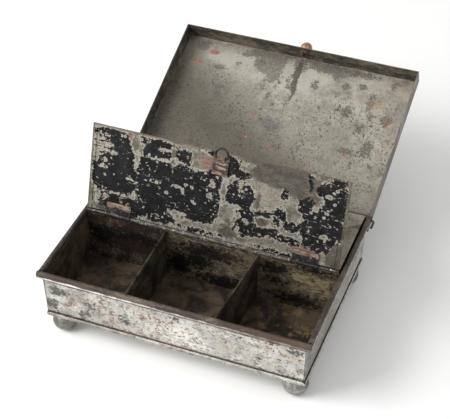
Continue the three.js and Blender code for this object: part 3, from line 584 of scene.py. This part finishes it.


# Outer lid

# Pale areas of the panel are painted reflections of light on the tin
LID_REFLECTIONS = ((0, 116, 40, 22), (55, 130, 30, 8), (-52, 126, 24, 12))
LID_FILM = (
    (-23, 128, 13, 12), (-17, 117, 6, 7), (-30, 135, 14, 5), (1.5, 132, 6, 8), (2.2, 112, 1.8, 13), (24, 134, 16, 6),
    (33, 129, 5, 4), (-44, 131, 5, 2.5), (52, 135, 12, 3), (-4, 138, 44, 2.6), (-82, 131, 5, 5))
LID_STAINS = (
    (18.5, 116, 3.5, 4.5), (-11, 110, 1.3, 3.2), (-22, 110, 1.3, 2.6), (-22, 104, 1.2, 2), (-4, 116, 2, 3),
    (-2, 109, 2.5, 2), (-63, 114, 6, 2.2), (-15, 97, 2.2, 4), (-38, 91, 1.8, 1.6), (43, 121, 3, 3), (56, 123, 4, 2.6),
    (66, 110, 3, 8), (50, 98, 4, 6), (43, 98, 2.2, 2.6), (64, 86, 3, 4.6), (75, 68, 4.6, 7.5), (60, 63, 6, 3),
    (82, 97, 4, 4.6), (80, 131, 2.2, 4.5), (69, 98, 2.4, 3.4), (66, 52, 2, 3), (82, 53, 2, 3), (27, 96, 1.6, 2),
    (-55, 96, 4, 2), (-48, 121, 1.6, 1.6), (-7, 90, 2.4, 1), (40, 84, 1.6, 1.6), (-30, 127, 3, 2))
LID_BAR = ((1.4, 122, 2.6, 16), (3.2, 108, 1.8, 9))
LID_WARM = ((74, 113, 6, 8), (84, 130, 10, 5), (88, 104, 3, 16))
LID_BLUE = ((-82, 86, 6, 6), (-5, 72, 7, 6), (-56, 90, 4, 5))
LID_ORANGE = (
    (-71, 127, 4.5, 2.4), (-82, 115, 4.5, 1.8), (60, 60, 1.6, 1.6), (-19, 56, 1.4, 1.2), (3, 51, 1.6, 1.2),
    (34, 42, 1.4, 1.0), (-20, 76, 1.2, 2.4), (84, 95, 1.6, 4))


def lid_panel(s, u, t, ut):
    """Panel's inside: bright towards the front edge, painted shade towards the hinge and the left flange; returns
    colour and specks.
    """
    cloud = s.noise(0.022, 9, 0.62, 0.2, ut)
    lace = s.noise(0.26, 5, 0.7, 0.3, ut)
    fine = s.noise(0.7, 5, 0.7, 0.2, ut)
    color = s.mix(s.step(cloud, 0.36, 0.64), "lid dull", "lid bright")
    color = s.coat(color, "lid mottle", s.noise(0.11, 8, 0.7, 0.2, ut), 0.44, 0.62, 0.5)
    color = s.coat(color, "lid grain", s.noise(1.2, 4, 0.7, 0.0, ut), 0.48, 0.60, 0.5)
    # Painted shade: darker towards the left flange and the hinge, where the flange and the leaf shade the panel
    painted_shade = s.plus(s.times(u, -0.008), s.times(t, -0.012), s.sway(cloud, 0.9))
    color = s.coat(color, "lid painted shade", painted_shade, -1.25, -0.35, 0.82)

    small = s.step(s.noise(0.50, 5, 0.72, 0.2, ut), 0.570, 0.595)
    specks = s.most(small, s.step(s.noise(0.27, 3, 0.6, 0.3, ut), 0.620, 0.640, 0.0, 0.85))
    many = s.times(s.step(s.noise(0.05, 3, 0.5, 0.0, ut), 0.40, 0.56, 0.45, 1.0), s.step(t, 95, 125, 1.0, 0.45))
    color = s.mix(s.times(specks, many, 0.95), color, "lid specks")
    # Painted reflections: pale areas where the tin catches the light
    color = s.coat(color, "lid painted reflection", s.islands(ut, LID_REFLECTIONS, (cloud, 60), (lace, 20)), -4, 10, 0.5)

    film = s.step(s.islands(ut, LID_FILM, (lace, 16), (fine, 8)), -0.3, 0.5)
    stray = s.step(s.noise(0.13, 5, 0.66, 0.3, ut), 0.625, 0.645)
    film = s.most(film, s.times(stray, s.step(u, 0, 55, 0.3, 0.8)))
    color = s.mix(s.times(film, s.step(fine, 0.38, 0.56, 0.5, 0.9)), color, "lid film")
    stains = s.step(s.islands(ut, LID_STAINS, (lace, 12), (fine, 9)), -0.4, 0.8)
    color = s.mix(s.times(stains, s.step(fine, 0.40, 0.56, 0.45, 0.9)), color, "lid stains")

    color = s.coat(color, "lid bar", s.islands(ut, LID_BAR, (lace, 6), (fine, 4)), -0.3, 0.4, 0.85)
    color = s.coat(color, "lid warm", s.islands(ut, LID_WARM, (cloud, 40), (lace, 14)), -2, 6, 0.35)
    color = s.coat(color, "lid blue", s.islands(ut, LID_BLUE, (cloud, 30), (lace, 12)), -1, 3, 0.5)
    orange = s.most(s.step(s.islands(ut, LID_ORANGE, (fine, 5)), -0.3, 0.4),
                    s.step(s.noise(0.30, 4, 0.6, 0.0, ut), 0.71, 0.74, 0.0, 0.7))
    tint = s.mix(s.step(lace, 0.42, 0.58), "orange light", "orange dark")
    return s.mix(s.times(orange, 0.85), color, tint), specks


def lid_tin(name):
    """Lid, mapped in mm: u to the right, t out from the hinge; dark inside its flanges, worn outside."""
    s = Shade(name)
    u, t = s.mm("X"), s.reach(LID_HINGE, OUT_LID)
    ut = s.join(u, t)
    color, specks = lid_panel(s, u, t, ut)

    ahead = s.facing(OUT_LID)
    aside = s.times(s.axis("X", s.normal), s.math("SIGN", u))
    flange = s.most(s.step(s.times(ahead, -1.0), 0.4, 0.6), s.step(s.times(aside, -1.0), 0.4, 0.6))
    outside = s.most(*(s.step(turned, 0.4, 0.6) for turned in (ahead, aside, s.facing(OVER_LID))))

    # Inner faces of the flanges darker, with lighter streaks
    flange_inside = s.step(s.noise(110, 7, 0.7, 0.2, s.mapped((0.5, 1, 1))), 0.42, 0.66)
    streaks = s.noise(520, 4, 0.65, 0.0, s.mapped((0.25, 1, 1)))
    flange_inside = s.coat(s.mix(flange_inside, "flange inside dark", "flange inside light"), "flange inside worn", streaks, 0.58, 0.64, 0.6)
    color = s.mix(flange, color, flange_inside)

    shell = s.mix(s.step(s.noise(26, 9, 0.66, 0.3), 0.38, 0.62), "shell dark", "shell light")
    shell = s.coat(shell, "shell black", s.noise(60, 8, 0.7, 0.3), 0.56, 0.62, 0.8)
    shell = s.coat(shell, "shell grain", s.noise(420, 4, 0.68), 0.54, 0.62, 0.6)
    shell, _ = rusted(s, shell, None, 0.6)
    color = s.mix(outside, color, shell)

    edge = s.times(s.step(u, 94.5, 95.6), s.step(s.noise(0.12, 6, 0.7, 0.0, ut), 0.40, 0.60, 0.25, 0.85))
    color = s.mix(s.times(edge, s.rest(s.most(flange, outside))), color, "lid edge")
    # Painted shade on the panel next to the front flange
    flange_shade = s.times(s.step(t, 128, 138.5), s.step(s.noise(0.2, 6, 0.7, 0.0, ut), 0.42, 0.58, 0.3, 0.9), 0.4)
    color = s.mix(s.times(flange_shade, s.rest(flange)), color, "lid flange painted shade")
    return s.done(color, s.blend(flange, 0.46, 0.6), s.blend(flange, 0.5, 0.3), specks, 0.25)


# What each piece is made of: by its name, or else by a word in its name

LEAF_STRAP = strap_tin("leaf_strap_tin", soldered=True)
BY_NAME = {
    "front_wall": wall_tin("front_wall_tin", "X", "Y", 1.0, FRONT_PATCHES, FRONT_RUST),
    "back_wall": wall_tin("back_wall_tin", "X", "Y", -1.0),
    "left_wall": wall_tin("left_wall_tin", "Y", "X", 1.0),
    "right_wall": wall_tin("right_wall_tin", "Y", "X", -1.0),
    "base_plate": wall_tin("base_tin", "X", "Z", 1.0),
    "centre_partition": interior_tin("partition_tin", partition=True),
    "front_leaf": japan_front("front_leaf_japan"),
    "back_leaf": leaf_top("back_leaf_tin"),
    "lid": lid_tin("lid_tin"),
    "lid_knob": small_metal(
        "knob_copper", (220, 5, 0.6), (0.40, 0.65), ("copper dark", "copper light"),
        [((700, 4, 0.65), 0.56, 0.62, 0.7, "copper stain")], rough=0.48, bump=0.2),
    "lid_knob_screw": small_metal(
        "screw_brown", (300, 5, 0.6), (0.40, 0.65), ("screw dark", "screw light"), rough=0.55, metal=0.3, bump=0.2),
    "front_leaf_strap_left": LEAF_STRAP,
    "front_leaf_strap_right": LEAF_STRAP,
    "front_pull_strap": plate_tin("pull_plate_tin"),
}
BY_WORD = {
    "divider": interior_tin("divider_tin"),
    "ring": small_metal(
        "ring_wire", (260, 6, 0.65), (0.42, 0.62), ("ring dark", "ring light"), rough=0.42, metal=0.5),
    "wire": small_metal(
        "dark_wire", (120, 6, 0.65), (0.42, 0.60), ("wire dark", "wire light"),
        [((300, 5, 0.7), 0.50, 0.58, 0.8, "wire stain"), ((420, 4, 0.6), 0.62, 0.66, 1.0, "wire glint")]),
    "strap": strap_tin("plain_strap_tin"),
    "foot": foot_tin("foot_tin"),
}
for name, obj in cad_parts.items():
    finishes = [BY_NAME[name]] if name in BY_NAME else [mat for word, mat in BY_WORD.items() if word in name]
    obj.data.materials.clear()
    obj.data.materials.append(finishes[0])


# Stage, light and camera

FLOOR_REACH = 6.0
FLOOR_PAPER = (0.90, 0.90, 0.90, 1)
FLOOR_ROUGH = 0.9

corners = [Vector((x * FLOOR_REACH, y * FLOOR_REACH, 0)) for x, y in ((-1, -1), (1, -1), (1, 1), (-1, 1))]
floor_mesh = bpy.data.meshes.new("floor")
floor_mesh.from_pydata(corners, [], [(0, 1, 2, 3)])
floor = bpy.data.objects.new("floor", floor_mesh)
bpy.context.scene.collection.objects.link(floor)
floor_mat = bpy.data.materials.new("floor_paper")
floor_mat.use_nodes = True
paper = floor_mat.node_tree.nodes["Principled BSDF"].inputs
paper["Base Color"].default_value = FLOOR_PAPER
paper["Roughness"].default_value = FLOOR_ROUGH
floor_mesh.materials.append(floor_mat)


def lamp(name, place, aim, size, power, color):
    """Rectangular area lamp: place, aim and size in metres, power in watts."""
    data = bpy.data.lights.new(name, "AREA")
    data.shape = "RECTANGLE"
    data.size, data.size_y = size
    data.energy = power
    data.color = color
    obj = bpy.data.objects.new(name, data)
    obj.location = place
    obj.rotation_euler = (Vector(aim) - Vector(place)).to_track_quat("-Z", "Y").to_euler()
    bpy.context.scene.collection.objects.link(obj)


lamp("key_softbox", place=(-1.18, -0.82, 1.1), aim=(0, -0.02, 0), size=(1.1, 0.9), power=31,
     color=(1.0, 0.99, 0.975))
lamp("front_fill", place=(0.1, -1.6, 0.9), aim=(0, -0.07, 0), size=(1.8, 1.2), power=3, color=(0.98, 0.99, 1.0))

WORLD_COLOR = (0.98, 0.98, 0.965, 1)
WORLD_STRENGTH = 0.74

world = bpy.data.worlds.new("studio")
bpy.context.scene.world = world
world.use_nodes = True
background = world.node_tree.nodes["Background"].inputs
background["Color"].default_value = WORLD_COLOR
background["Strength"].default_value = WORLD_STRENGTH

# The camera as fitted to the photograph: angles in radians, place in metres, lens in mm
YAW = -0.3635
PITCH = 0.6892
ROLL = 0.0039
CAMERA_PLACE = (0.264446, -0.732366, 0.676846)
LENS = 106.359
CLIP_END = 50

forward = Vector((math.cos(PITCH) * math.sin(YAW), math.cos(PITCH) * math.cos(YAW), -math.sin(PITCH)))
level = Vector((math.cos(YAW), -math.sin(YAW), 0))
steep = level.cross(forward)
right = level * math.cos(ROLL) + steep * math.sin(ROLL)
upward = steep * math.cos(ROLL) - level * math.sin(ROLL)
camera_data = bpy.data.cameras.new("photo_view")
camera_data.lens = LENS
camera_data.clip_end = CLIP_END
camera = bpy.data.objects.new("photo_view", camera_data)
camera.matrix_world = Matrix.Translation(CAMERA_PLACE) @ Matrix((right, upward, -forward)).transposed().to_4x4()
bpy.context.scene.collection.objects.link(camera)
bpy.context.scene.camera = camera
bpy.context.scene.view_settings.view_transform = "Standard"
